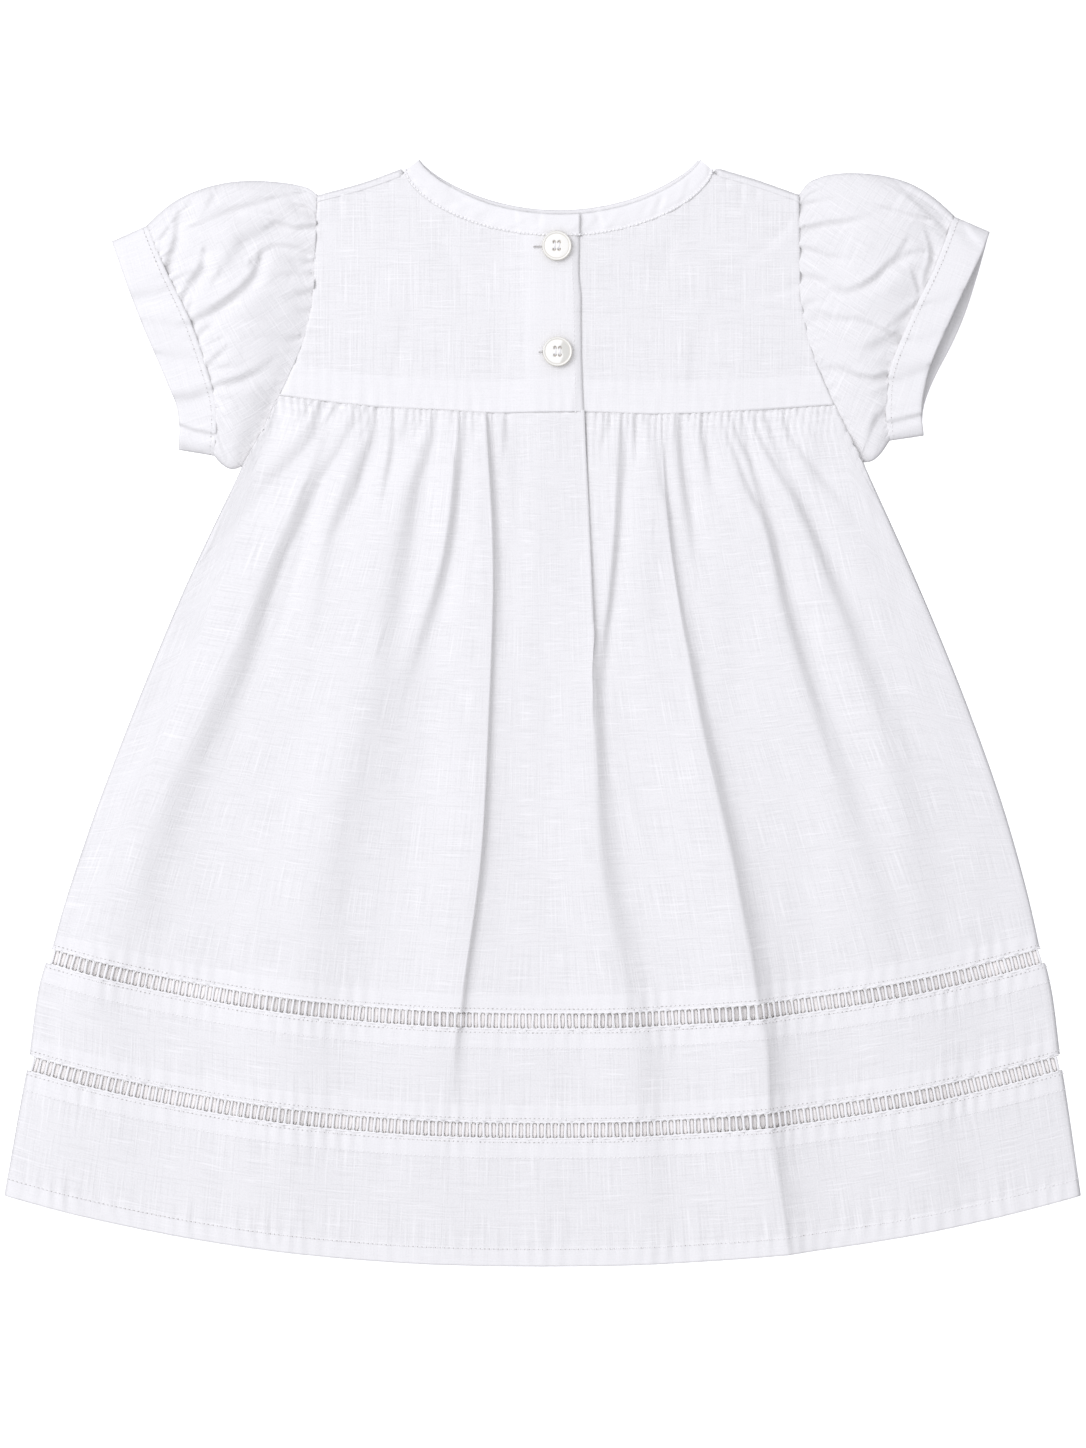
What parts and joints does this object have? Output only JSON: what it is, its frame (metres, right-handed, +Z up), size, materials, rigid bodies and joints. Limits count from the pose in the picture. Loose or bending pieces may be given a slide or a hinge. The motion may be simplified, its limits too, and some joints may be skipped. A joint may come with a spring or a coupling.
{
  "type": "toddler dress",
  "caption": "Toddler's white cotton dress with short puff sleeves, a buttoned back yoke and ladder insertions above the hem, laid flat with its back up.",
  "frame": {"origin": "on the surface that the dress lies on, under the middle of its bounding box", "axes": "+X to the right and +Y towards the neck as the buttoned back is looked down on, +Z up from the surface"},
  "size_m": [0.4304, 0.4424, 0.0131],
  "materials": {
    "cloth": "white slub cotton, matte, one layer",
    "band": "white slub cotton, matte, doubled",
    "insertion": "white cotton thread, ladder openwork",
    "button": "pearly off-white, four holes, raised rim"
  },
  "bodies": {
    "root": {"front_yoke": "cloth", "front_skirt": "cloth", "front_insertion_upper": "insertion", "front_middle_band": "cloth", "front_insertion_lower": "insertion", "front_hem_band": "cloth", "front_neck_band": "band", "back_yoke_left": "cloth", "back_yoke_right": "cloth", "back_neck_band_left": "band", "back_neck_band_right": "band", "back_skirt": "cloth", "back_placket_strip": "band", "back_insertion_upper": "insertion", "back_middle_band": "cloth", "back_insertion_lower": "insertion", "back_hem_band": "cloth", "sleeve_left": "cloth", "sleeve_right": "cloth", "cuff_left": "band", "cuff_right": "band", "button_upper": "button", "button_lower": "button"}
  },
  "joints": []
}
